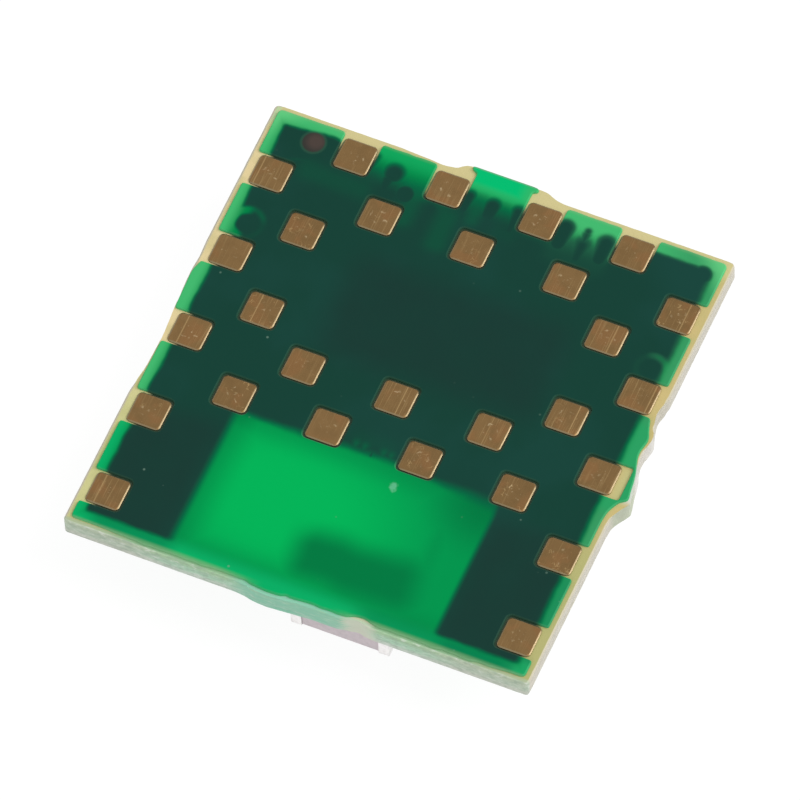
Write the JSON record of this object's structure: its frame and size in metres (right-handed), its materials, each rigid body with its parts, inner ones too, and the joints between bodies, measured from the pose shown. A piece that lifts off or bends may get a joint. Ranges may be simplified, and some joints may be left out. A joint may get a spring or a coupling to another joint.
{
  "type": "surface-mount radio module",
  "caption": "Small square short-range radio module seen from its solder side: thin green board with gold contact pads, copper-free antenna window, shield can and chip antenna beneath.",
  "frame": {"origin": "under the middle of the board, on the shield can's flat outer face, which the module lies on", "axes": "+Z out of the contact pads, +Y from the antenna edge to the far edge, +X to the right when the pads face the viewer and the antenna edge is nearest"},
  "size_m": [0.0092, 0.0096, 0.0018],
  "materials": {
    "laminate": "pale tan glass-epoxy, translucent at the edges",
    "copper": "rolled copper under solder mask",
    "gold_plate": "thin gold over nickel, finely brushed, with probe marks",
    "solder_mask": "translucent green lacquer, dark over copper",
    "solder": "satin tin solder",
    "can_sheet": "tin-plated steel sheet",
    "antenna_ceramic": "fired ceramic, pinkish grey",
    "tin_plate": "matt tin over silver",
    "silicon": "ground silicon with a black coat",
    "crystal_ceramic": "cream alumina",
    "ferrite": "dark ferrite",
    "capacitor_ceramic": "tan brown ceramic"
  },
  "bodies": {
    "root": {"board_laminate": "laminate", "ground_copper": "copper", "contact_pads_left": "gold_plate", "contact_pads_right": "gold_plate", "contact_pads_upper": "gold_plate", "contact_pads_lower": "gold_plate", "contact_pads_inner": "gold_plate", "host_solder_mask": "solder_mask", "part_lands": "gold_plate", "can_frame_land": "gold_plate", "antenna_lands": "gold_plate", "antenna_feed_strip": "copper", "component_solder_mask": "solder_mask", "solder_joints": "solder", "shield_can": "can_sheet", "antenna_body": "antenna_ceramic", "antenna_end_caps": "tin_plate", "radio_chip": "silicon", "radio_chip_balls": "solder", "main_crystal_case": "crystal_ceramic", "main_crystal_lid": "can_sheet", "slow_crystal_case": "crystal_ceramic", "slow_crystal_lid": "can_sheet", "power_inductor_body": "ferrite", "power_inductor_end_caps": "tin_plate", "capacitor_bodies": "capacitor_ceramic", "capacitor_end_caps": "tin_plate", "matching_bodies": "ferrite", "matching_end_caps": "tin_plate"}
  },
  "joints": []
}
